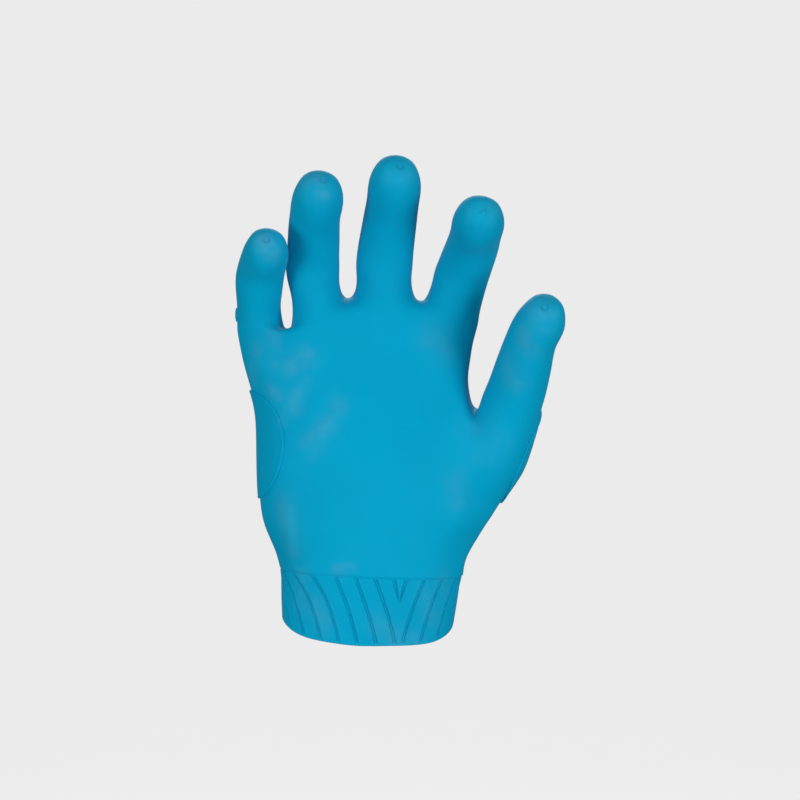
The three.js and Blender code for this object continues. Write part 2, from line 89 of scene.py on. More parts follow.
class Maker:
    def __init__(self, tree):
        self.tree = tree

    def add(self, kind, settings=None, sockets=None, output=0):
        node = self.tree.nodes.new(kind)
        for name, value in (settings or {}).items():
            setattr(node, name, value)
        for name, value in (sockets or {}).items():
            self.plug(node.inputs[name], value)
        return Wire(self, node.outputs[output]) if len(node.outputs) else None

    def plug(self, socket, value):
        if isinstance(value, Wire):
            self.tree.links.new(value.socket, socket)
        else:
            socket.default_value = value

    def math(self, operation, *values):
        return self.add("ShaderNodeMath", {"operation": operation}, dict(enumerate(values)))

    def noise(self, place, scale, detail=2.0, roughness=0.5):
        sockets = {"Vector": place, "Scale": scale, "Detail": detail, "Roughness": roughness}
        return self.add("ShaderNodeTexNoise", {}, sockets)

    def mix(self, share, first, second):
        return self.add("ShaderNodeMix", {"data_type": "RGBA"}, {0: share, 6: first, 7: second}, 2)


# the camera stands where the photograph's did

cameraSetup = {
    "target": (15.2, 0, 113.9),  # mm
    "distance": 1250,
    "elevation": 3.0,  # degrees
    "frameWidth": 380,  # mm across the picture at the target
    "sensor": 36.0,
    "picture": 800,  # pixels
}


def makeCamera(setup):
    elevation = math.radians(setup["elevation"])
    back = Vector((0, -math.cos(elevation), math.sin(elevation)))
    target = Vector(setup["target"]) * mm
    data = bpy.data.cameras.new("camera")
    data.sensor_width = setup["sensor"]
    data.lens = setup["sensor"] * setup["distance"] / setup["frameWidth"]
    data.clip_start = 0.01
    data.clip_end = 50
    camera = bpy.data.objects.new("camera", data)
    camera.location = target + back * setup["distance"] * mm
    camera.rotation_euler = (-back).to_track_quat("-Z", "Y").to_euler()
    bpy.context.scene.collection.objects.link(camera)
    bpy.context.scene.camera = camera


# start and direction of the line of sight through a pixel
def lineOfSight(column, row, setup=cameraSetup):
    elevation = math.radians(setup["elevation"])
    back = Vector((0, -math.cos(elevation), math.sin(elevation)))
    upwards = Vector((0, math.sin(elevation), math.cos(elevation)))
    pixel = setup["frameWidth"] / setup["picture"]
    half = setup["picture"] / 2
    start = Vector(setup["target"]) + back * setup["distance"]
    aim = -back * setup["distance"] + upwards * (half - row) * pixel
    aim.x += (column - half) * pixel
    return start * mm, aim.normalized()


makeCamera(cameraSetup)
print("camera placed")


# the skin of the hand: a cage of four-sided faces that a smooth surface passes through

skinShape = {
    "wall": 1.5,  # mm
    "levels": 3,  # of subdivision
    "fitRounds": 12,
    "sideDepth": -2,
    "palmValley": 0.5,  # share of the valleys between the fingers that shows on the palm
    "thumbRow": 3,  # first of the two rows that the thumb leaves from
    "tipShoulder": 48,  # degrees up the round tip
    "tipLength": 1.04,  # tip height over its radius
    "waviness": 0.16,  # mm, slight unevenness of the moulding
    "wavinessScale": 14,  # mm
    "wavinessFrom": 33,  # mm up, so that the edge at the band stays true
    "wavinessFull": 45,
}
handSections = table(
    ["upLeft", "upRight", "arch", "left", "right", "reach", "palm", "back", "hollow", "valley",
     "squareness"],
    [
        [34.4, 30.8, 0.0, -41.8, 45.2, 45.2, 27.5, 27.5, 0.0, 0.0, 2.3],
        [42.9, 39.9, 0.0, -44.2, 47.2, 47.2, 27.8, 27.0, 0.0, 0.0, 2.3],
        [53.4, 50.9, 0.5, -48.6, 53.6, 53.6, 29.0, 26.0, 0.5, 0.0, 2.3],
        [66.4, 63.4, 1.5, -51.2, 61.0, 62.5, 31.0, 24.5, 2.0, 0.0, 2.3],
        [86.4, 85.4, 0.0, -52.0, 50.0, 74.0, 32.0, 22.5, 3.5, 0.0, 2.3],
        [105.4, 110.3, 1.0, -52.4, 50.3, 60.0, 27.5, 21.0, 4.0, 0.0, 2.4],
        [118.9, 121.4, 2.5, -55.1, 47.5, 52.0, 24.0, 19.5, 3.0, 0.3, 2.6],
        [130.9, 132.4, 4.5, -58.6, 48.4, 49.5, 21.0, 17.2, 1.5, 1.0, 2.8],
        [140.9, 141.4, 7.5, -60.7, 49.8, 49.8, 19.0, 15.0, 0.0, 1.6, 2.8],
    ],
)
webColumns = table(
    ["across", "palmDepth", "palmUp", "backDepth", "backUp"],
    [
        [-60.3, -8.5, 148.4, 6.8, 147.9],
        [-51.0, -14.5, 148.4, 11.3, 148.4],
        [-37.2, -14.5, 147.9, 10.8, 143.4],
        [-24.5, -17.9, 152.9, 13.5, 153.4],
        [-8.6, -16.0, 161.4, 12.0, 155.9],
        [8.0, -18.3, 158.4, 13.6, 158.4],
        [24.2, -15.6, 160.7, 11.6, 155.4],
        [38.0, -16.4, 152.9, 12.4, 152.9],
        [49.3, -9.3, 149.4, 7.0, 148.4],
    ],
)
handEdges = table(["across", "depth", "up"], [[-61.7, -1, 148.4], [52.0, -1, 149.9]])
webRidges = table(
    ["across", "depth", "up"],
    [[-37.4, -1.5, 145.4], [-8.6, -1.5, 159.4], [24.2, -1.5, 158.7]],
)

# sections along each finger: lean is towards the thumb's side and pitch towards the palm, in degrees
sectionColumns = ["across", "depth", "up", "width", "thickness", "lean", "pitch"]
littleFinger = table(sectionColumns, [
    [-51.1, -3.5, 155.0, 21.2, 23.6, 0, 14],
    [-51.2, -7.2, 162.4, 21.2, 22.0, 0, 24],
    [-50.6, -12.8, 170.9, 22.6, 21.5, 2, 38],
    [-48.8, -20.2, 178.2, 22.4, 21.0, 6, 48],
    [-46.6, -31.5, 185.1, 20.0, 20.0, 6, 58],
])
ringFinger = table(sectionColumns, [
    [-23.8, -4.0, 162.0, 24.4, 28.4, -14, 10],
    [-25.7, -6.8, 173.7, 25.2, 25.0, -3, 16],
    [-25.6, -11.0, 184.0, 24.6, 24.5, 0, 30],
    [-24.9, -19.0, 194.4, 24.0, 24.0, 2, 41],
    [-24.0, -27.2, 201.9, 23.6, 23.6, 5, 50],
    [-22.3, -38.0, 209.9, 22.8, 23.0, 6, 55],
])
middleFinger = table(sectionColumns, [
    [7.6, -4.0, 167.4, 27.6, 29.0, 0, 10],
    [7.8, -6.8, 177.4, 26.8, 26.0, 1, 16],
    [8.9, -10.8, 188.4, 26.0, 25.0, 5, 30],
    [10.7, -18.4, 199.4, 25.0, 24.5, 7, 42],
    [12.0, -27.7, 208.2, 24.2, 24.0, 7, 52],
    [13.0, -39.0, 216.7, 23.2, 23.2, 6, 57],
])
indexFinger = table(sectionColumns, [
    [40.6, -3.6, 161.0, 26.6, 27.6, 18, 14],
    [43.5, -7.5, 170.9, 25.8, 25.0, 16, 24],
    [46.6, -14.5, 180.0, 25.0, 24.5, 17, 42],
    [49.0, -24.0, 187.4, 24.2, 24.0, 15, 54],
    [50.4, -34.5, 193.6, 23.6, 23.4, 12, 63],
    [51.3, -46.0, 198.7, 22.8, 22.8, 8, 68],
])
thumb = table(sectionColumns, [
    [61.7, -11.0, 96.1, 38.4, 35.0, 58, 14],
    [66.6, -16.0, 109.4, 30.4, 30.0, 38, 22],
    [70.6, -22.5, 122.9, 27.2, 27.0, 22, 28],
    [73.6, -29.5, 135.0, 25.2, 25.5, 19, 32],
    [76.4, -36.0, 145.0, 23.4, 24.0, 19, 34],
    [80.3, -42.0, 153.4, 22.2, 22.2, 20, 34],
])


class Cage:
    def __init__(self):
        self.points = []
        self.faces = []

    def addPoint(self, x, y, z):
        self.points.append((x, y, z))
        return len(self.points) - 1

    def joinRings(self, lower, upper, skipped=()):
        for k, corner in enumerate(lower):
            after = (k + 1) % len(lower)
            if k not in skipped:
                self.faces.append((corner, lower[after], upper[after], upper[k]))

    # weights that give where the smooth surface passes for each point
    def limitWeights(self):
        count = len(self.points)
        facesAtEdge = {}
        across = [[] for _ in range(count)]
        for face in self.faces:
            for k in range(4):
                edge = tuple(sorted((face[k], face[(k + 1) % 4])))
                facesAtEdge[edge] = facesAtEdge.get(edge, 0) + 1
                across[face[k]].append(face[(k + 2) % 4])
        along = [[] for _ in range(count)]
        rim = [[] for _ in range(count)]
        for (a, b), uses in facesAtEdge.items():
            for here, there in ((a, b), (b, a)):
                along[here].append(there)
                if uses == 1:
                    rim[here].append(there)
        weights = np.zeros((count, count))
        for here in range(count):
            if rim[here]:
                weights[here, here] = 4 / 6
                weights[here, rim[here]] = 1 / 6
                continue
            n = len(along[here])
            total = n * n + 5 * n
            weights[here, here] = n * n / total
            weights[here, along[here]] = 4 / total
            for there in across[here]:
                weights[here, there] += 1 / total
        return weights

    def fitToPoints(self, rounds):
        target = np.array(self.points, float)
        weights = self.limitWeights()
        points = target.copy()
        for _ in range(rounds):
            points += target - weights @ points
        self.points = [tuple(point) for point in points]


def flattened(x, left, right, power):
    share = min(1, abs(2 * (x - left) / (right - left) - 1))
    return (1 - share ** power) ** (1 / power)


def addHandRing(cage, section, hasRightEdge):
    leftEdge, rightEdge = handEdges
    wide = rightEdge["across"] - leftEdge["across"]
    shares = [(column["across"] - leftEdge["across"]) / wide for column in webColumns]
    palm = []
    back = []
    for column, share in enumerate(shares):
        x = lerp(section["left"], section["right"], share)
        roundness = flattened(x, section["left"], section["reach"], section["squareness"])
        turn = math.pi * (x - section["left"]) / (section["reach"] - section["left"])
        dip = section["hollow"] * math.sin(turn) ** 2
        isWeb = column % 2 == 0 and 0 < column < len(shares) - 1
        valley = section["valley"] if isWeb else 0
        up = lerp(section["upLeft"], section["upRight"], share) + 4 * section["arch"] * share * (1 - share)
        palmDepth = dip + valley * skinShape["palmValley"] - section["palm"] * roundness
        palm.append(cage.addPoint(x, palmDepth, up))
        back.append(cage.addPoint(x, section["back"] * roundness - valley, up))
    left = cage.addPoint(section["left"], skinShape["sideDepth"], section["upLeft"])
    right = None
    if hasRightEdge:
        right = cage.addPoint(section["right"], skinShape["sideDepth"], section["upRight"])
    return [left, *palm, right, *reversed(back)]


def sectionAxes(section):
    lean = math.radians(section["lean"])
    pitch = math.radians(section["pitch"])
    sideways = Vector((math.cos(lean), 0, -math.sin(lean)))
    along = Vector((math.sin(lean) * math.cos(pitch), -math.sin(pitch), math.cos(lean) * math.cos(pitch)))
    return sideways, along


def sectionMiddle(section):
    return Vector((section["across"], section["depth"], section["up"]))


def addFinger(cage, root, sections):
    equator = sections[-1]
    shoulder = math.radians(skinShape["tipShoulder"])
    tip = sectionAxes(equator)[1] * skinShape["tipLength"] * equator["width"] / 2
    raised = sectionMiddle(equator) + tip * math.sin(shoulder)
    narrow = math.cos(shoulder)
    last = dict(equator, across=raised.x, depth=raised.y, up=raised.z)
    last.update(width=equator["width"] * narrow, thickness=equator["thickness"] * narrow)
    ring = root
    for section in [*sections, last]:
        sideways, along = sectionAxes(section)
        palmward = sideways.cross(along)
        points = []
        for degrees in (135, 90, 45, 0, -45, -90, -135, 180):
            angle = math.radians(degrees)
            out = sideways * math.cos(angle) * section["width"] / 2
            out += palmward * math.sin(angle) * section["thickness"] / 2
            points.append(cage.addPoint(*(sectionMiddle(section) + out)))
        cage.joinRings(ring, points)
        ring = points
    pole = cage.addPoint(*(sectionMiddle(equator) + tip))
    for k in range(0, 8, 2):
        cage.faces.append((ring[k], ring[k + 1], ring[(k + 2) % 8], pole))


def buildHandCage():
    cage = Cage()
    thumbRows = (skinShape["thumbRow"], skinShape["thumbRow"] + 1)
    rings = [addHandRing(cage, section, row != thumbRows[1]) for row, section in enumerate(handSections)]
    leftEdge, rightEdge = [cage.addPoint(*edge.values()) for edge in handEdges]
    palm = [cage.addPoint(one["across"], one["palmDepth"], one["palmUp"]) for one in webColumns]
    back = [cage.addPoint(one["across"], one["backDepth"], one["backUp"]) for one in webColumns]
    ridges = [cage.addPoint(*ridge.values()) for ridge in webRidges]
    rings.append([leftEdge, *palm, rightEdge, *reversed(back)])
    edgeColumn = len(webColumns) + 1
    for row in range(len(rings) - 1):
        skipped = (edgeColumn - 1, edgeColumn) if row in thumbRows else ()
        cage.joinRings(rings[row], rings[row + 1], skipped)
    sides = [leftEdge, *ridges, rightEdge]
    for i, sections in enumerate((littleFinger, ringFinger, middleFinger, indexFinger)):
        k = 2 * i
        root = [palm[k], palm[k + 1], palm[k + 2], sides[i + 1], back[k + 2], back[k + 1], back[k], sides[i]]
        addFinger(cage, root, sections)
    low, middle, high = [rings[skinShape["thumbRow"] + step] for step in range(3)]
    e = edgeColumn
    addFinger(cage, [high[e - 1], middle[e - 1], low[e - 1], low[e],
                     low[e + 1], middle[e + 1], high[e + 1], high[e]], thumb)
    cage.fitToPoints(skinShape["fitRounds"])
    return cage


def newObject(name, mesh):
    piece = bpy.data.objects.new(name, mesh)
    bpy.context.scene.collection.objects.link(piece)
    return piece


# the piece's mesh with its modifiers taken into it
def settle(piece):
    evaluated = piece.evaluated_get(bpy.context.evaluated_depsgraph_get())
    mesh = bpy.data.meshes.new_from_object(evaluated)
    piece.modifiers.clear()
    piece.data = mesh
    mesh.shade_smooth()
    return piece


def meshOf(name, points, faces, scale=mm):
    mesh = bpy.data.meshes.new(name)
    mesh.from_pydata([Vector(point) * scale for point in points], [], faces)
    mesh.update()
    mesh.shade_smooth()
    return mesh


def readPoints(mesh):
    points = np.empty(len(mesh.vertices) * 3)
    mesh.vertices.foreach_get("co", points)
    return points.reshape(-1, 3)


def readNormals(mesh):
    normals = np.empty(len(mesh.vertices) * 3)
    mesh.vertices.foreach_get("normal", normals)
    return normals.reshape(-1, 3)


def writePoints(mesh, points):
    mesh.vertices.foreach_set("co", np.ascontiguousarray(points).ravel())
    mesh.update()


def addValues(mesh, name, values):
    mesh.attributes.new(name, "FLOAT", "POINT").data.foreach_set("value", values)


def addVectors(mesh, name, vectors):
    mesh.attributes.new(name, "FLOAT_VECTOR", "POINT").data.foreach_set("vector", np.ravel(vectors))


def smoothHand():
    cage = buildHandCage()
    piece = newObject("hand_surface", meshOf("hand_surface", cage.points, cage.faces))
    rounding = piece.modifiers.new("rounding", "SUBSURF")
    rounding.levels = skinShape["levels"]
    rounding.render_levels = skinShape["levels"]
    return settle(piece)


# the webs are drawn round where the fingers part

softenRounds = 110
# from the little finger's web to the thumb's: the spot, how far it is smoothed and how strongly,
# and the depth and reach of its lift, all in mm but for the share
webSoftening = table(
    ["across", "depth", "up", "reach", "share", "liftDepth", "liftReach", "lift"],
    [
        [-37.4, -1.5, 145.4, 14, 0.4, -1.5, 10, -2.6],
        [-37.4, -9.5, 145.4, 10, 0.45, -10.5, 6, -2.0],
        [-8.6, -7.5, 159.4, 14, 0.5, -1.5, 7, 0.7],
        [24.2, -7.5, 158.7, 14, 0.5, -1.5, 7, -0.5],
        [51.0, -8.0, 109.0, 10, 0.5, -6.0, 8, -1.4],
    ],
)


def softenWebs(mesh):
    points = readPoints(mesh)
    ends = np.zeros(2 * len(mesh.edges), dtype=np.int32)
    mesh.edges.foreach_get("vertices", ends)
    first, second = ends.reshape(-1, 2).T
    count = len(points)
    uses = np.bincount(first, minlength=count) + np.bincount(second, minlength=count)
    near = np.zeros(count)
    lift = np.zeros(count)
    for spot in webSoftening:
        away = np.linalg.norm(points / mm - (spot["across"], spot["depth"], spot["up"]), axis=1)
        near = np.maximum(near, spot["share"] * np.exp(-(away / spot["reach"]) ** 4))
        away = np.linalg.norm(points / mm - (spot["across"], spot["liftDepth"], spot["up"]), axis=1)
        lift += spot["lift"] * mm * np.exp(-(away / spot["liftReach"]) ** 2)
    for _ in range(softenRounds):
        for axis in range(3):
            values = points[:, axis]
            around = np.bincount(first, values[second], count) + np.bincount(second, values[first], count)
            points[:, axis] = values + (around / uses - values) * near
    points[:, 2] += lift
    writePoints(mesh, points)


# marks of the moulding, placed by where the photograph shows them

# soft folds: both ends in pixels, half width and height in mm, where below 0 is a valley
palmFolds = table(
    ["fromColumn", "fromRow", "toColumn", "toRow", "width", "height"],
    [
        [318, 384, 287, 421, 3.2, -0.62],
        [306, 372, 281, 404, 3.0, 0.48],
        [343, 408, 303, 449, 3.4, 0.58],
        [334, 398, 300, 436, 2.6, -0.42],
        [356, 412, 322, 452, 3.0, -0.36],
        [291, 352, 312, 380, 4.0, 0.26],
        [287, 500, 291, 556, 2.4, 0.46],
        [294, 508, 298, 560, 2.2, -0.26],
        [288, 571, 299, 560, 1.2, -0.34],
        [287, 561, 298, 571, 1.2, 0.36],
        [336, 571, 354, 568, 2.2, 0.26],
        [384, 217, 404, 218.5, 0.9, -0.14],
        [386, 221, 403, 222.5, 0.9, -0.12],
        [299, 245, 331, 247, 2.4, -0.16],
        [300, 282, 336, 284, 2.4, -0.18],
        [449, 262, 484, 272, 2.4, -0.16],
        [366, 262, 408, 263, 2.6, -0.14],
        [512, 372, 536, 380, 3.0, -0.16],
        [424, 330, 452, 352, 5.0, 0.20],
    ],
)
# round dents and bumps, the same way
palmDents = table(
    ["column", "row", "radius", "height"],
    [
        [316, 453, 1.9, -0.42],
        [311, 458, 1.6, 0.20],
        [271, 392, 2.4, 0.34],
        [267, 391, 1.5, -0.26],
        [427, 437, 1.6, -0.14],
        [457, 488, 5.0, 0.22],
        [345, 569, 2.4, 0.24],
        [296, 566, 1.6, -0.20],
        [322, 200, 5.5, 0.14],
    ],
)
foldEnds = {"plain": 0.06, "taper": 0.6}  # share of a fold, and power of its height
missedDepth = -24  # mm, where a line of sight that passes beside the skin ends


def pointAtDepth(start, aim, depth):
    return start + aim * ((depth * mm - start.y) / aim.y)


def landSeen(surface, column, row):
    start, aim = lineOfSight(column, row)
    point, normal, _, _ = surface.ray_cast(start, aim)
    if point is None:
        point, normal, _, _ = surface.find_nearest(pointAtDepth(start, aim, missedDepth))
    return point, normal


def distanceToStretch(points, start, end):
    stretch = end - start
    share = np.clip((points - start) @ stretch / (stretch @ stretch), 0, 1)
    near = start + share[:, None] * stretch
    return np.linalg.norm(points - near, axis=1), share


def surfaceTree(piece):
    return BVHTree.FromObject(piece, bpy.context.evaluated_depsgraph_get())


def shapeMarks(piece):
    mesh = piece.data
    points = readPoints(mesh)
    normals = readNormals(mesh)
    surface = surfaceTree(piece)
    height = np.zeros(len(points))
    for fold in palmFolds:
        start, _ = landSeen(surface, fold["fromColumn"], fold["fromRow"])
        end, _ = landSeen(surface, fold["toColumn"], fold["toRow"])
        away, share = distanceToStretch(points, np.array(start), np.array(end))
        inside = np.clip(share, foldEnds["plain"], 1 - foldEnds["plain"])
        taper = np.sin(np.pi * inside) ** foldEnds["taper"]
        height += fold["height"] * mm * taper * np.exp(-((away / (fold["width"] * mm)) ** 2))
    for dent in palmDents:
        middle, _ = landSeen(surface, dent["column"], dent["row"])
        away = np.linalg.norm(points - np.array(middle), axis=1)
        height += dent["height"] * mm * np.exp(-((away / (dent["radius"] * mm)) ** 2))
    scale = skinShape["wavinessScale"] * mm
    waves = np.array([noise.noise(Vector(point) / scale) for point in points])
    seamHold = smoothStep(skinShape["wavinessFrom"], skinShape["wavinessFull"], points[:, 2] / mm)
    height += skinShape["waviness"] * mm * waves * seamHold
    writePoints(mesh, points + normals * height[:, None])


# the skin gets its wall and a rounded lower edge

# from the outer face to the inner one, in mm
lipShape = table(["inset", "up"], [[0.0, 0.30], [0.06, 0.11], [0.22, 0.0], [1.20, 0.0], [1.5, 0.3]])


def boundaryLoop(mesh):
    uses = {}
    for polygon in mesh.polygons:
        for a, b in polygon.edge_keys:
            uses[(a, b)] = uses.get((a, b), 0) + 1
    beside = {}
    for (a, b), count in uses.items():
        if count == 1:
            beside.setdefault(a, []).append(b)
            beside.setdefault(b, []).append(a)
    start = min(beside)
    loop = [start, beside[start][0]]
    while len(loop) < len(beside):
        before, here = loop[-2:]
        loop.append(next(other for other in beside[here] if other != before))
    return loop


def thickenSkin(surfacePiece):
    mesh = surfacePiece.data
    points = readPoints(mesh) / mm
    normals = readNormals(mesh)
    loop = boundaryLoop(mesh)
    outward = normals[loop]
    outward[:, 2] = 0
    outward /= np.linalg.norm(outward, axis=1)[:, None]
    rimPoints = points[loop]
    points[loop] = rimPoints + np.array([0, 0, lipShape[0]["up"]])
    count = len(points)
    inner = points - normals * skinShape["wall"]
    inner[loop] = rimPoints - outward * skinShape["wall"] + np.array([0, 0, lipShape[-1]["up"]])
    extra = []
    rings = [list(loop)]
    for row in lipShape[1:-1]:
        first = 2 * count + len(extra)
        extra.extend(rimPoints - outward * row["inset"] + np.array([0, 0, row["up"]]))
        rings.append(list(range(first, first + len(loop))))
    rings.append([index + count for index in loop])
    faces = [tuple(polygon.vertices) for polygon in mesh.polygons]
    faces += [tuple(index + count for index in reversed(face)) for face in faces]
    directed = {(face[k], face[(k + 1) % len(face)]) for face in faces for k in range(len(face))}
    runsWithLoop = (loop[0], loop[1]) in directed
    for upper, lower in zip(rings, rings[1:]):
        for k in range(len(loop)):
            after = (k + 1) % len(loop)
            quad = (upper[after], upper[k], lower[k], lower[after])
            faces.append(quad if runsWithLoop else tuple(reversed(quad)))
    solid = meshOf("glove_skin", [*points, *inner, *extra], faces)
    return newObject("glove_skin", solid)


handSurface = smoothHand()
softenWebs(handSurface.data)
shapeMarks(handSurface)
gloveSkin = thickenSkin(handSurface)
skinTree = surfaceTree(handSurface)
print("skin built,", len(gloveSkin.data.polygons), "faces")


# the wrist band: columns that follow its grooves, cut in by geometry nodes

bandShape = {
    "top": {"left": -41.8, "right": 44.8, "palm": 27.5, "back": 27.5},  # mm
    "rim": {"left": -41.4, "right": 40.8, "palm": 26.8, "back": 26.8},
    "seam": {"left": 34.4, "right": 30.8},  # mm up
    # how much higher the rim is than at the palm, and how narrow its rise is at both sides
    "rise": {"back": 4.5, "leftSlope": 4.2, "left": 6.2, "right": 6.2, "palmSharpness": 13,
             "backSharpness": 4},
    "inset": 0.4,  # mm that the bars lie inside the outline, but for the seam
    "seamInset": 0.14,
    "seamFrom": 0.7,  # share of the height where the bars start to come out to the seam
    "wall": 2.2,
    "squareness": 2.3,
    "tuck": 0.9,  # how far the band goes up behind the skin's edge
    "axis": 15.2,  # where the bars meet in a V
    "halfTop": 11.9,  # half width of the V at the seam
    "halfRim": 1.8,
    "curve": 1.25,  # 1 is straight bars
    "grooves": 12,  # on each side of the V
    "rows": (0.035, 0.965, 52),  # first and last share of the height, and how many
    # the small V: half width at the seam, share of the height where it ends, and how its grooves narrow
    "innerV": {"top": 3.1, "end": 0.62, "fadeTo": 0.72, "point": 0.04, "fullAt": 4.875, "shallowest": 0.3},
    "giveWay": 0.35,  # how soon the columns beside the V spread, for each mm of room
    # on the left the grooves bend outwards near the seam: mm from the V's axis, from where up, and how far
    "bend": {"from": 27, "to": 48, "fadeFrom": 52, "fadeTo": 84, "above": 0.55, "amount": 4.2,
             "power": 1.5},
    "plainRim": (1.2, 1.6),  # mm above the rim, where the grooves begin
    "plainSeam": (0.6, 0.95),  # mm below the seam, where they end
    "seamLine": {"below": 0.35, "width": 0.3},
    "outerRound": (0.45, 0.8),  # mm up the outer face
    "rimRound": ((2.2, 0.4), (1.85, 0.08), (1.1, 0.0), (0.35, 0.02), (0.08, 0.2)),  # mm in, and mm up
    "seamRows": (0.975, 0.983, 0.990, 0.997, 1.0),
    "liningRows": (0.9, 0.6, 0.3, 0.1),
}
bandRelief = {
    "Groove Depth": 0.62 * mm,
    "Floor Width": 1.3 * mm,
    "Floor Crown": 0.40 * mm,
    "Wall Width": 0.36 * mm,
    "Lip Height": 0.14 * mm,
    "Seam Depth": 0.32 * mm,
}
halfStations = (0.0, 0.28, 0.48, 0.6, 0.7, 0.8, 0.9, 1.0, 1.12, 1.3, 1.9, 2.3)  # mm
grooveStations = tuple(-step for step in reversed(halfStations[1:])) + halfStations
barStations = (0.36, 0.5, 0.64)  # share of the way between two grooves
grooveClear = 1.0  # mm on both sides of a groove's middle that keep their width everywhere
innerReach = 2.0  # mm, the same for the columns of the small V
plainAcross = 99.0  # away from any groove
palmMiddle = 0.75  # share of the way round the outline


class BandOutline:
    def __init__(self, size, inset, steps=2048):
        self.middle = (size["left"] + size["right"]) / 2
        half = (size["right"] - size["left"]) / 2 - inset
        angle = np.linspace(0, 2 * np.pi, steps + 1)
        power = 2 / bandShape["squareness"]
        cosine, sine = np.cos(angle), np.sin(angle)
        depth = np.where(sine < 0, size["palm"] - inset, size["back"] - inset)
        self.x = self.middle + half * np.sign(cosine) * np.abs(cosine) ** power
        self.y = depth * np.sign(sine) * np.abs(sine) ** power
        run = np.hypot(np.diff(self.x), np.diff(self.y))
        self.length = run.sum()
        self.share = np.concatenate([[0], np.cumsum(run)]) / self.length

    def at(self, share):
        share = np.mod(share, 1)
        return np.interp(share, self.share, self.x), np.interp(share, self.share, self.y)

    def outwardAt(self, share, step=0.0004):
        aheadX, aheadY = self.at(share + step)
        behindX, behindY = self.at(share - step)
        x, y = aheadY - behindY, behindX - aheadX
        size = np.hypot(x, y)
        return x / size, y / size


# each column's kind, its distances from the V's axis at the rim and the seam, and from its groove's middle
def bandStations(length):
    shape = bandShape
    pitch = (length / 2 - shape["halfTop"] - shape["halfRim"]) / (shape["grooves"] - 1)
    half = []
    for offset in grooveStations:
        if abs(offset) < innerReach:
            half.append(("innerV", offset, shape["innerV"]["top"] + offset, offset))
    for k in range(shape["grooves"]):
        rim = shape["halfRim"] + k * pitch
        top = shape["halfTop"] + k * pitch
        for offset in grooveStations:
            kind = "groove"
            if k == 0 and offset < -grooveClear:
                kind = "nearV"
            if k == shape["grooves"] - 1 and offset > grooveClear:
                kind = "farV"
            half.append((kind, rim + offset, top + offset, offset))
        if k + 1 < shape["grooves"]:
            for share in barStations:
                half.append(("bar", rim + pitch * share, top + pitch * share, plainAcross))
    axis = [("bar", 0.0, 0.0, plainAcross)]
    far = [("bar", length / 2, length / 2, plainAcross)]
    mirrored = [(kind, -rim, -top, -across) for kind, rim, top, across in reversed(half)]
    stations = [*mirrored, *axis, *half, *far]
    return [np.array(values) for values in zip(*stations)]


# how far the columns lie from the V's axis at a share of the height, and how wide the small V's are
def stationDistances(stations, share):
    kinds, rim, top, across = stations
    shape = bandShape
    inner, bend = shape["innerV"], shape["bend"]
    curved = share ** shape["curve"]
    inward = np.sign(top)
    nearRoom = lerp(shape["halfRim"], shape["halfTop"], curved) - grooveClear
    farRoom = lerp(shape["halfTop"], shape["halfRim"], curved) - grooveClear
    distance = lerp(rim, top, curved)
    for kind, room, side in (("nearV", nearRoom, 1), ("farV", farRoom, -1)):
        squeeze = side * inward * (np.abs(across) - grooveClear) * (1 - min(1, shape["giveWay"] * room))
        distance = distance + np.where(kinds == kind, squeeze, 0)
    opening = max(0.0, (share - inner["end"]) / (1 - inner["end"]))
    middle = max(inner["point"] * nearRoom, inner["top"] * opening)
    width = min(1.0, nearRoom / inner["fullAt"], middle / 2)
    distance = np.where(kinds == "innerV", inward * middle + across * width, distance)
    bends = smoothStep(bend["from"], bend["to"], -top)
    bends = bends * (1 - smoothStep(bend["fadeFrom"], bend["fadeTo"], -top))
    aboveBend = max(0, share - bend["above"]) / (1 - bend["above"])
    return distance - bend["amount"] * bends * aboveBend ** bend["power"], width


# the rim is higher at both sides, and a little higher at the back than at the palm
def rimRise(angle):
    rise = bandShape["rise"]
    toBack, toRight, toLeft = np.maximum(0, [np.sin(angle), np.cos(angle), -np.cos(angle)])
    sharpness = np.where(angle < 0, rise["palmSharpness"], rise["backSharpness"])
    slopes = rise["back"] * toBack ** 2 + rise["leftSlope"] * toLeft ** 2
    return slopes + rise["right"] * toRight ** sharpness + rise["left"] * toLeft ** sharpness


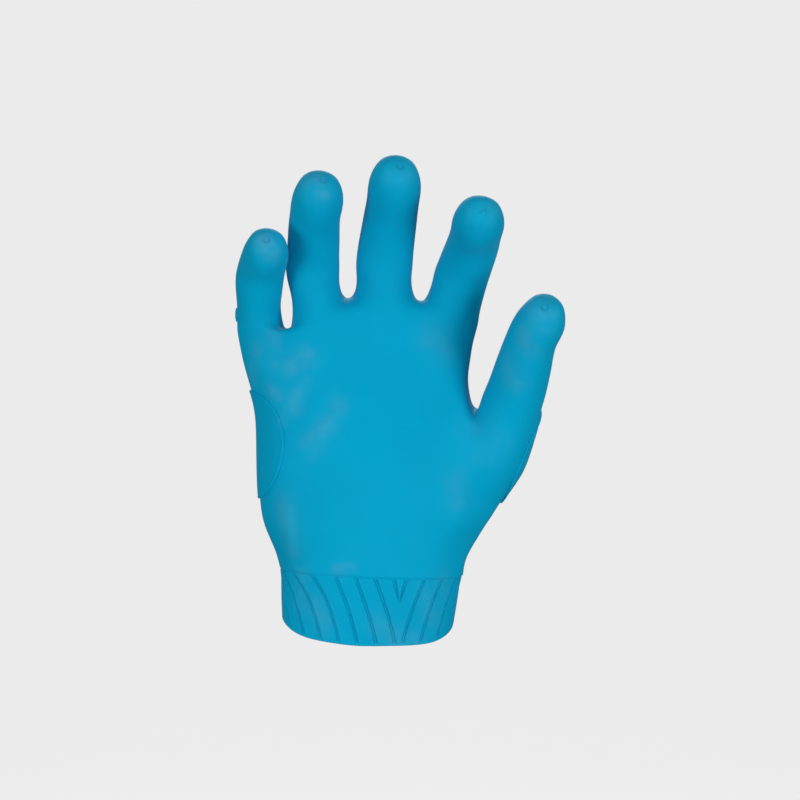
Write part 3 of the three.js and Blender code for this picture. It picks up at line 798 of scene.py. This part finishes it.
def buildBand():
    shape = bandShape
    inner, line = shape["innerV"], shape["seamLine"]
    seamLength = BandOutline(shape["top"], shape["inset"]).length
    stations = bandStations(seamLength)
    kinds, across = stations[0], stations[3]
    points, outwards, fades, seamLines, rows = [], [], [], [], []

    def addLevel(share, inset, lift=0.0, relief=1.0):
        size = {key: lerp(shape["rim"][key], shape["top"][key], share) for key in shape["top"]}
        outline = BandOutline(size, inset)
        distance, innerWidth = stationDistances(stations, share)
        around = palmMiddle + (shape["axis"] - outline.middle + distance) / seamLength
        x, y = outline.at(around)
        outwardX, outwardY = outline.outwardAt(around)
        rise = rimRise(np.arctan2(y, x - outline.middle))
        seamShare = (x - shape["top"]["left"]) / (shape["top"]["right"] - shape["top"]["left"])
        seam = lerp(shape["seam"]["left"], shape["seam"]["right"], seamShare)
        up = lerp(rise, seam, share)
        belowSeam = seam - up
        fade = smoothStep(*shape["plainRim"], up - rise) * smoothStep(*shape["plainSeam"], belowSeam)
        innerFade = smoothStep(inner["end"], inner["fadeTo"], share)
        innerFade = innerFade * min(1, inner["shallowest"] + innerWidth)
        first = len(points)
        points.extend(np.column_stack([x, y, up + lift]) * mm)
        outwards.extend(np.column_stack([outwardX, outwardY, np.zeros(len(x))]))
        fades.extend(fade * np.where(kinds == "innerV", innerFade, 1) * relief)
        seamLines.extend(np.exp(-((belowSeam - line["below"]) / line["width"]) ** 2) * relief)
        rows.append(list(range(first, first + len(x))))

    for lift in shape["outerRound"]:
        addLevel(0.0, shape["inset"], lift, 0)
    for share in np.linspace(*shape["rows"]):
        addLevel(share, lerp(shape["inset"], shape["seamInset"], smoothStep(shape["seamFrom"], 1, share)))
    for share in shape["seamRows"]:
        addLevel(share, shape["seamInset"])
    for inset in (0, shape["wall"]):
        addLevel(1.0, shape["inset"] + inset, shape["tuck"], 0)
    for share in shape["liningRows"]:
        addLevel(share, shape["inset"] + shape["wall"], 0.0, 0)
    for inset, lift in shape["rimRound"]:
        addLevel(0.0, shape["inset"] + inset, lift, 0)
    faces = []
    for r, row in enumerate(rows):
        above = rows[(r + 1) % len(rows)]
        for k, corner in enumerate(row):
            after = (k + 1) % len(row)
            faces.append((corner, row[after], above[after], above[k]))
    mesh = meshOf("wrist_band", points, faces, 1.0)
    addValues(mesh, "acrossGroove", np.tile(across * mm, len(rows)))
    addValues(mesh, "grooveFade", fades)
    addValues(mesh, "seamLine", seamLines)
    addVectors(mesh, "outwards", outwards)
    return newObject("wrist_band", mesh)


def namedValue(maker, name, kind="FLOAT"):
    return maker.add("GeometryNodeInputNamedAttribute", {"data_type": kind}, {"Name": name})


def newGeometryTree(name, inputs):
    tree = bpy.data.node_groups.new(name, "GeometryNodeTree")
    tree.interface.new_socket(name="Geometry", in_out="INPUT", socket_type="NodeSocketGeometry")
    tree.interface.new_socket(name="Geometry", in_out="OUTPUT", socket_type="NodeSocketGeometry")
    for label in inputs:
        tree.interface.new_socket(name=label, in_out="INPUT", socket_type="NodeSocketFloat")
    tree.interface.new_socket(name="Material", in_out="INPUT", socket_type="NodeSocketMaterial")
    maker = Maker(tree)
    entry = tree.nodes.new("NodeGroupInput")
    given = {socket.name: Wire(maker, socket) for socket in entry.outputs if socket.name}
    return tree, maker, given


def finishGeometryTree(maker, geometry, material):
    real = maker.add("GeometryNodeRealizeInstances", {}, {"Geometry": geometry})
    painted = maker.add("GeometryNodeSetMaterial", {}, {"Geometry": real, "Material": material})
    maker.add("NodeGroupOutput")
    maker.plug(maker.tree.nodes["Group Output"].inputs["Geometry"], painted)


def applyTree(piece, tree, values):
    modifier = piece.modifiers.new(tree.name, "NODES")
    modifier.node_group = tree
    for item in tree.interface.items_tree:
        if item.in_out == "INPUT" and item.name in values:
            modifier[item.identifier] = values[item.name]
    return settle(piece)


def reliefTree():
    tree, maker, given = newGeometryTree("band_relief", list(bandRelief))
    across = maker.math("ABSOLUTE", namedValue(maker, "acrossGroove"))
    fade = namedValue(maker, "grooveFade")
    floorHalf = given["Floor Width"] * 0.5
    wallEnd = floorHalf + given["Wall Width"]
    wall = across.between(floorHalf, wallEnd)
    crown = given["Floor Crown"] * (1 - across.between(0.0, floorHalf))
    lipRise = across.between(wallEnd - 0.2 * mm, wallEnd)
    lipFall = across.between(wallEnd, wallEnd + 0.8 * mm)
    height = given["Lip Height"] * lipRise * (1 - lipFall) - given["Groove Depth"] * (1 - wall) + crown
    height = height * fade - given["Seam Depth"] * namedValue(maker, "seamLine")
    sockets = {"Vector": namedValue(maker, "outwards", "FLOAT_VECTOR"), "Scale": height}
    offset = maker.add("ShaderNodeVectorMath", {"operation": "SCALE"}, sockets)
    moved = maker.add("GeometryNodeSetPosition", {}, {"Geometry": given["Geometry"], "Offset": offset})
    finishGeometryTree(maker, moved, given["Material"])
    return tree


# raised pieces that lie on the skin

littlePadShape = {
    "foot": (-30, -4.5, 68.2), "head": (-32, -1, 119.9), "outward": (-1, 0, 0),
    "turn": 0, "spread": 67, "sides": 96, "height": 1.0, "bevel": 0.5, "bead": 0.16,
}
thumbPadShape = {
    "foot": (47.8, -3.2, 70.2), "head": (67, -14.8, 116.5), "outward": (0.92, 0, -0.38),
    "turn": 18, "spread": 54, "sides": 96, "height": 1.0, "bevel": 0.5, "bead": 0.16,
}
nubShape = {
    "foot": (-52, -3.5, 150.9), "head": (-52, -5.5, 157.9), "outward": (-1, 0, 0),
    "turn": 0, "spread": 12, "sides": 32, "height": 1.0, "bevel": 3.0, "bead": 0,
}
# of every raised piece, in mm: how deep its edge and its underside lie in the skin, and its bead
patchShape = {"sink": 0.35, "under": 0.6, "beadInset": 0.8, "beadWidth": 0.5, "castFrom": 80}


def buildPatch(name, shape, rings):
    foot, head = Vector(shape["foot"]) * mm, Vector(shape["head"]) * mm
    axis = (head - foot).normalized()
    outward = Vector(shape["outward"])
    outward = (outward - axis * outward.dot(axis)).normalized()
    backward = axis.cross(outward)
    mirrored = backward.y < 0
    if mirrored:
        backward.negate()

    def land(share, angle):
        along = (1 - share * math.cos(angle)) / 2
        turn = math.radians(shape["turn"] + shape["spread"] * share * math.sin(angle))
        away = outward * math.cos(turn) + backward * math.sin(turn)
        start = foot.lerp(head, along) + away * patchShape["castFrom"] * mm
        point, normal, _, _ = skinTree.ray_cast(start, -away)
        return point, normal

    size = (land(1, 0)[0] - land(1, math.pi)[0]).length / 2 / mm
    top, under = [], []
    for share in rings:
        inside = (1 - share) * size
        rise = shape["height"] * math.sqrt(max(0, 1 - max(0, 1 - inside / shape["bevel"]) ** 2))
        fromBead = (inside - patchShape["beadInset"]) / patchShape["beadWidth"]
        rise += shape["bead"] * math.exp(-(fromBead ** 2))
        if share == 1:
            rise -= patchShape["sink"]
        for k in range(shape["sides"] if share else 1):
            point, normal = land(share, 2 * math.pi * k / shape["sides"])
            top.append(point + normal * rise * mm)
            under.append(point - normal * patchShape["under"] * mm)
    count = len(top)
    sides = shape["sides"]
    faces = [(0, 1 + k, 1 + (k + 1) % sides) for k in range(sides)]
    for ring in range(len(rings) - 2):
        first, second = 1 + ring * sides, 1 + (ring + 1) * sides
        for k in range(sides):
            after = (k + 1) % sides
            faces.append((first + k, second + k, second + after, first + after))
    faces += [tuple(index + count for index in reversed(face)) for face in faces]
    edge = 1 + (len(rings) - 2) * sides
    for k in range(sides):
        a, b = edge + k, edge + (k + 1) % sides
        faces.append((b, a, a + count, b + count))
    if mirrored:
        faces = [tuple(reversed(face)) for face in faces]
    return newObject(name, meshOf(name, [*top, *under], faces, 1.0))


padRings = [0, 0.12, 0.25, 0.4, 0.55, 0.7, 0.8, 0.88, 0.93, 0.955, 0.968, 0.98, 0.99, 0.997, 1]
nubRings = [0, 0.25, 0.45, 0.6, 0.75, 0.85, 0.93, 0.98, 1]


# small marks of the mould: pimples, and rings left by its plugs

moulding = {"Pimple Flatness": 0.42, "Plug Radius": 1.45 * mm, "Plug Thickness": 0.23 * mm}
pimples = table(
    ["column", "row", "size"],
    [[263.5, 376, 0.75], [404.6, 428, 0.6], [395, 446, 0.5], [411.8, 485.5, 0.5], [325.7, 421, 0.45],
     [330.5, 372, 0.35], [330.5, 374, 0.35], [462, 264, 0.4], [436, 343, 0.4], [352, 495, 0.4],
     [300, 470, 0.4], [380, 300, 0.4], [547, 356, 0.45]],
)
# tilt is in degrees, so that one side of the ring stands out more
plugMarks = table(
    ["column", "row", "tilt"],
    [[323, 181, 7], [400, 167, 9], [484, 213, -9], [266, 240, 7], [545, 308, 7]],
)
plugSink = 0.02 * mm


def buildMouldMarks(material):
    points, outwards, sizes, plugs = [], [], [], []
    for spot in pimples:
        point, normal = landSeen(skinTree, spot["column"], spot["row"])
        points.append(point)
        outwards.append(normal)
        sizes.append(spot["size"] * mm)
        plugs.append(0.0)
    for spot in plugMarks:
        point, normal = landSeen(skinTree, spot["column"], spot["row"])
        points.append(point - normal * plugSink)
        tilted = normal + Vector((0, 0, 1)) * math.radians(spot["tilt"])
        outwards.append(tilted.normalized())
        sizes.append(1.0)
        plugs.append(1.0)
    mesh = meshOf("mould_marks", points, [], 1.0)
    addVectors(mesh, "outwards", outwards)
    addValues(mesh, "size", sizes)
    addValues(mesh, "isPlug", plugs)

    tree, maker, given = newGeometryTree("mould_marks", list(moulding))
    turned = maker.add("FunctionNodeAlignRotationToVector", {"axis": "Z"},
                       {"Vector": namedValue(maker, "outwards", "FLOAT_VECTOR")})
    size = namedValue(maker, "size")
    flatSize = size * given["Pimple Flatness"]
    flat = maker.add("ShaderNodeCombineXYZ", {}, {"X": size, "Y": size, "Z": flatSize})
    isPlug = maker.math("GREATER_THAN", namedValue(maker, "isPlug"), 0.5)
    dome = maker.add("GeometryNodeMeshIcoSphere", {}, {"Radius": 1.0, "Subdivisions": 3})
    domes = maker.add("GeometryNodeInstanceOnPoints", {}, {
        "Points": given["Geometry"], "Selection": 1 - isPlug, "Instance": dome,
        "Rotation": turned, "Scale": flat})
    circle = "GeometryNodeCurvePrimitiveCircle"
    ring = maker.add(circle, {}, {"Resolution": 28, "Radius": given["Plug Radius"]})
    wire = maker.add(circle, {}, {"Resolution": 8, "Radius": given["Plug Thickness"]})
    tube = maker.add("GeometryNodeCurveToMesh", {}, {"Curve": ring, "Profile Curve": wire})
    rings = maker.add("GeometryNodeInstanceOnPoints", {}, {
        "Points": given["Geometry"], "Selection": isPlug, "Instance": tube, "Rotation": turned})
    joined = maker.tree.nodes.new("GeometryNodeJoinGeometry")
    for part in (domes, rings):
        maker.tree.links.new(part.socket, joined.inputs[0])
    finishGeometryTree(maker, Wire(maker, joined.outputs[0]), given["Material"])
    return applyTree(newObject("mould_marks", mesh), tree, dict(moulding, Material=material))


# rubber, a little chalky where the glove has been handled

rubberLook = {
    "base": (0.0002, 0.325, 0.540, 1),
    "deep": (0.0002, 0.290, 0.490, 1),
    "chalk": (0.042, 0.316, 0.500, 1),
    "depthScale": 28,  # of the slow change between base and deep
    "depth": 0.55,
    "cloudScale": 95,  # of the patches in the chalk
    "evenChalk": 0.35,
    "cloudyChalk": 0.8,
    "haze": 0.06,  # chalk all over
    "fineScale": 1500,
    "grainScale": 3800,
    "grain": 0.10,
    "grainHeight": 0.4 * mm,
    "roughness": 0.58,
    "chalkRoughness": 0.16,
    "fineRoughness": 0.10,
    "specular": 0.03,
    "refraction": 1.45,
    "sheen": 0.08,
    "sheenRoughness": 0.3,
    "sheenTint": (0.9, 0.8, 0.8, 1),
}
# chalky streaks: the ends in pixels, the half width in mm, and how strong they are
chalkStreaks = table(
    ["fromColumn", "fromRow", "toColumn", "toRow", "radius", "strength"],
    [
        [312, 178, 322, 186, 7, 0.5], [319, 191, 324, 193, 3, 0.9], [388, 166, 404, 170, 8, 0.25],
        [474, 200, 486, 210, 8, 0.3], [264, 240, 272, 252, 5, 0.8], [536, 306, 546, 318, 8, 0.4],
        [524, 336, 530, 352, 5, 0.45], [509, 364, 515, 380, 6, 0.4], [292, 367, 308, 356, 5, 0.5],
        [294, 408, 303, 383, 4, 0.5], [311, 446, 326, 422, 5, 0.5], [333, 430, 338, 404, 5, 0.3],
        [253, 378, 257, 352, 4, 0.45], [273, 336, 274, 362, 4, 0.35], [268, 388, 278, 398, 3, 0.5],
        [282, 420, 287, 408, 3, 0.3], [284, 500, 292, 548, 5, 0.45], [457, 478, 457, 498, 5, 0.6],
        [474, 436, 486, 446, 9, 0.25], [430, 338, 444, 350, 7, 0.3], [294, 578, 300, 604, 5, 0.7],
        [286, 600, 290, 620, 4, 0.6], [440, 612, 446, 626, 5, 0.45], [378, 622, 392, 632, 6, 0.45],
        [450, 584, 454, 600, 5, 0.6], [393, 640, 410, 642, 6, 0.4], [336, 570, 350, 568, 2.5, 0.6],
        [318, 600, 326, 628, 5, 0.4], [424, 596, 430, 616, 5, 0.35],
    ],
)
seamRow = 572  # below it the streaks lie on the wrist band
bandDepth = -22  # mm, of the streaks there


def makeRubber(name, look, deeper=0.0):
    material = bpy.data.materials.new(name)
    material.use_nodes = True
    tree = material.node_tree
    tree.nodes.clear()
    maker = Maker(tree)
    place = maker.add("ShaderNodeTexCoord", {}, {}, 3)
    chalk = maker.add("ShaderNodeAttribute", {"attribute_name": "chalk"}, {}, 2)
    broad = maker.noise(place, look["depthScale"])
    cloud = maker.noise(place, look["cloudScale"], 4.0, 0.6)
    fine = maker.noise(place, look["fineScale"])
    grain = maker.noise(place, look["grainScale"])
    depth = broad.between(0.35, 0.75) * look["depth"] + deeper
    colour = maker.mix(depth, look["base"], look["deep"])
    handled = chalk * (look["evenChalk"] + cloud.between(0.38, 0.62) * look["cloudyChalk"])
    handled = handled + cloud.between(0.58, 0.78) * look["haze"]
    colour = maker.mix(handled, colour, look["chalk"])
    roughness = look["roughness"] + handled * look["chalkRoughness"] + (fine - 0.5) * look["fineRoughness"]
    height = fine * 0.6 + grain * 0.4
    bump = maker.add("ShaderNodeBump", {}, {
        "Strength": look["grain"], "Distance": look["grainHeight"], "Height": height})
    shader = maker.add("ShaderNodeBsdfPrincipled", {}, {
        "Base Color": colour, "Roughness": roughness, "Normal": bump, "IOR": look["refraction"],
        "Specular IOR Level": look["specular"], "Sheen Weight": look["sheen"],
        "Sheen Roughness": look["sheenRoughness"], "Sheen Tint": look["sheenTint"]})
    maker.add("ShaderNodeOutputMaterial", {}, {"Surface": shader})
    return material


def writeChalk(piece):
    points = readPoints(piece.data)
    normals = readNormals(piece.data)
    chalk = np.zeros(len(points))
    for streak in chalkStreaks:
        ends = []
        for side in ("from", "to"):
            column, row = streak[side + "Column"], streak[side + "Row"]
            if row < seamRow:
                end, normal = landSeen(skinTree, column, row)
            else:
                end = pointAtDepth(*lineOfSight(column, row), bandDepth)
                normal = Vector((0, -1, 0))
            ends.append(np.array(end))
        away, _ = distanceToStretch(points, *ends)
        facing = smoothStep(-0.3, 0.3, normals @ np.array(normal))
        strength = streak["strength"] * np.exp(-(away / (streak["radius"] * mm)) ** 2)
        chalk = np.maximum(chalk, strength * facing)
    addValues(piece.data, "chalk", chalk)


skinRubber = makeRubber("skin_rubber", rubberLook)
bandRubber = makeRubber("band_rubber", rubberLook, 0.10)
padRubber = makeRubber("pad_rubber", rubberLook, 0.25)

wristBand = applyTree(buildBand(), reliefTree(), dict(bandRelief, Material=bandRubber))
littlePad = buildPatch("little_finger_pad", littlePadShape, padRings)
thumbPad = buildPatch("thumb_pad", thumbPadShape, padRings)
nub = buildPatch("little_finger_mark", nubShape, nubRings)
mouldMarks = buildMouldMarks(skinRubber)
print("band, pads and mould marks built")

bpy.data.objects.remove(handSurface)
skinNodes = ("hand_shell", "little_finger_shell", "ring_finger_shell", "middle_finger_shell",
             "index_finger_shell", "thumb_shell")
pieces = (
    (gloveSkin, "skin", skinRubber, skinNodes),
    (wristBand, "band", bandRubber, ("cuff_band",)),
    (littlePad, "pad", padRubber, ("little_finger_side_pad",)),
    (thumbPad, "pad", padRubber, ("thumb_side_pad",)),
    (nub, "pad", padRubber, ("little_finger_nub",)),
    (mouldMarks, "skin", skinRubber, ()),
)
for piece, slotName, material, nodes in pieces:
    writeChalk(piece)
    piece.data.materials.clear()
    piece.data.materials.append(material)
    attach(piece, "root")
    if nodes:
        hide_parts(*nodes)
print("materials set")


# pale stage and soft light

stageShape = {"floor": -360, "front": -3200, "bend": 1500, "radius": 900, "high": 3600, "half": 4200}  # mm
stageLook = {"glow": 0.815, "paper": 0.05}


def buildStage():
    shape = stageShape
    profile = [(shape["front"], shape["floor"]), (shape["bend"], shape["floor"])]
    for k in range(1, 25):
        angle = math.pi / 2 * k / 24
        profile.append((
            shape["bend"] + shape["radius"] * math.sin(angle),
            shape["floor"] + shape["radius"] * (1 - math.cos(angle)),
        ))
    profile.append((shape["bend"] + shape["radius"], shape["high"]))
    points = [(side * shape["half"], y, z) for y, z in profile for side in (-1, 1)]
    faces = [(2 * k, 2 * k + 1, 2 * k + 3, 2 * k + 2) for k in range(len(profile) - 1)]
    stage = newObject("stage", meshOf("stage", points, faces))
    material = bpy.data.materials.new("stage_paper")
    material.use_nodes = True
    material.node_tree.nodes.clear()
    maker = Maker(material.node_tree)
    glow = maker.add("ShaderNodeEmission", {}, {"Color": (1, 1, 1, 1), "Strength": stageLook["glow"]})
    paper = maker.add("ShaderNodeBsdfDiffuse", {}, {"Color": (*[stageLook["paper"]] * 3, 1)})
    both = maker.add("ShaderNodeAddShader", {}, {0: glow, 1: paper})
    maker.add("ShaderNodeOutputMaterial", {}, {"Surface": both})
    stage.data.materials.append(material)
    stage.visible_diffuse = False
    stage.visible_glossy = False
    stage.visible_shadow = False


# soft boxes round the glove: degrees to the right of the camera and up, mm and watts
lamps = table(
    ["name", "turn", "elevation", "distance", "size", "power"],
    [
        ["front", 0, -11, 1700, 700, 8.6],
        ["right", 50, -8, 1500, 700, 12.0],
        ["left", -52, -8, 1500, 700, 10.0],
        ["top", 0, 62, 1500, 800, 6.2],
        ["back", 180, 34, 1500, 900, 16.0],
    ],
)
worldLook = {"grey": 0.8, "strength": 0.15, "seen": 0.83}
lampAim = Vector((10, 0, 110)) * mm


def buildLight():
    for lamp in lamps:
        data = bpy.data.lights.new(lamp["name"], "AREA")
        data.shape = "SQUARE"
        data.size = lamp["size"] * mm
        data.energy = lamp["power"]
        light = bpy.data.objects.new(lamp["name"], data)
        turn, elevation = math.radians(lamp["turn"]), math.radians(lamp["elevation"])
        level = math.cos(elevation)
        away = Vector((math.sin(turn) * level, -math.cos(turn) * level, math.sin(elevation)))
        light.location = lampAim + away * lamp["distance"] * mm
        light.rotation_euler = away.to_track_quat("Z", "Y").to_euler()
        light.visible_camera = False
        bpy.context.scene.collection.objects.link(light)
    world = bpy.data.worlds.new("studio")
    world.use_nodes = True
    world.node_tree.nodes.clear()
    maker = Maker(world.node_tree)
    grey = (*[worldLook["grey"]] * 3, 1)
    dim = maker.add("ShaderNodeBackground", {}, {"Color": grey, "Strength": worldLook["strength"]})
    seen = maker.add("ShaderNodeBackground", {}, {"Color": (1, 1, 1, 1), "Strength": worldLook["seen"]})
    isCamera = maker.add("ShaderNodeLightPath")
    both = maker.add("ShaderNodeMixShader", {}, {0: isCamera, 1: dim, 2: seen})
    maker.add("ShaderNodeOutputWorld", {}, {"Surface": both})
    bpy.context.scene.world = world
    bpy.context.scene.view_settings.view_transform = "Standard"


buildStage()
buildLight()
print("stage and light set")
